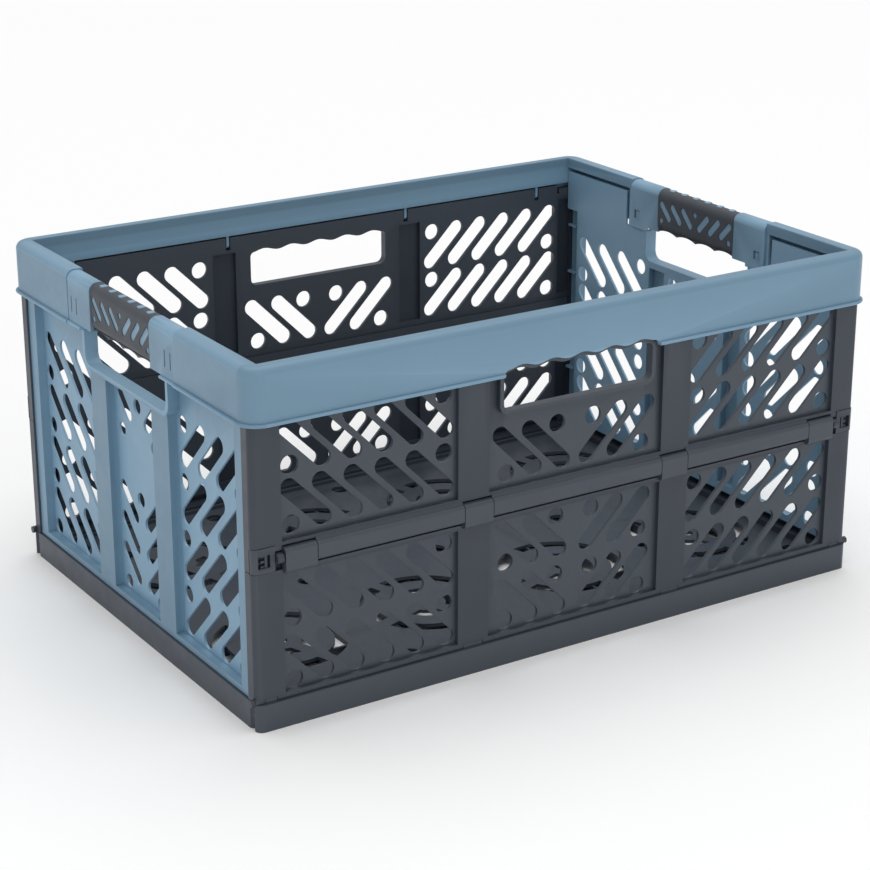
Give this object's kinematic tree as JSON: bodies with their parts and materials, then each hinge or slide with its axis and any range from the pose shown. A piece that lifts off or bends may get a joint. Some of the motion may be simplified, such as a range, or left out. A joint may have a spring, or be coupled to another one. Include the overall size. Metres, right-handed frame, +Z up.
{
  "type": "collapsible storage crate",
  "caption": "Open-topped folding storage crate: slotted tray and walls, a deep rim frame with two soft-grip handles, and end walls that hinge inward.",
  "frame": {"origin": "centre of the crate's footprint, on the surface it stands on", "axes": "+Z up, +X along the long side, +Y across towards the back wall; the front wall is at negative Y, the left end wall at negative X"},
  "size_m": [0.48, 0.345, 0.232],
  "materials": {
    "graphite_plastic": "fine satin texture",
    "blue_plastic": "fine satin texture",
    "soft_grip": "soft matte",
    "pin_plastic": "smooth"
  },
  "bodies": {
    "crate": {"base_tray": "graphite_plastic", "front_lower_wall": "graphite_plastic", "front_upper_wall": "graphite_plastic", "back_lower_wall": "graphite_plastic", "back_upper_wall": "graphite_plastic", "rim_frame": "blue_plastic", "left_handle_shell": "blue_plastic", "right_handle_shell": "blue_plastic", "left_grip": "soft_grip", "right_grip": "soft_grip", "base_pin_front": "pin_plastic", "base_pin_back": "pin_plastic", "mid_pin_front": "pin_plastic", "mid_pin_back": "pin_plastic", "rim_pins_front": "pin_plastic", "rim_pins_back": "pin_plastic", "end_pins_left": "pin_plastic", "end_pins_right": "pin_plastic"},
    "left_end": {"left_end_wall": "blue_plastic"},
    "right_end": {"right_end_wall": "blue_plastic"}
  },
  "joints": [
    {"name": "left_end_fold", "type": "hinge", "parent": "crate", "child": "left_end", "pos_m": [-0.229, 0, 0.218], "axis": [0, -1, 0], "range_deg": [0, 90]},
    {"name": "right_end_fold", "type": "hinge", "parent": "crate", "child": "right_end", "pos_m": [0.229, 0, 0.218], "axis": [0, 1, 0], "range_deg": [0, 90]}
  ]
}
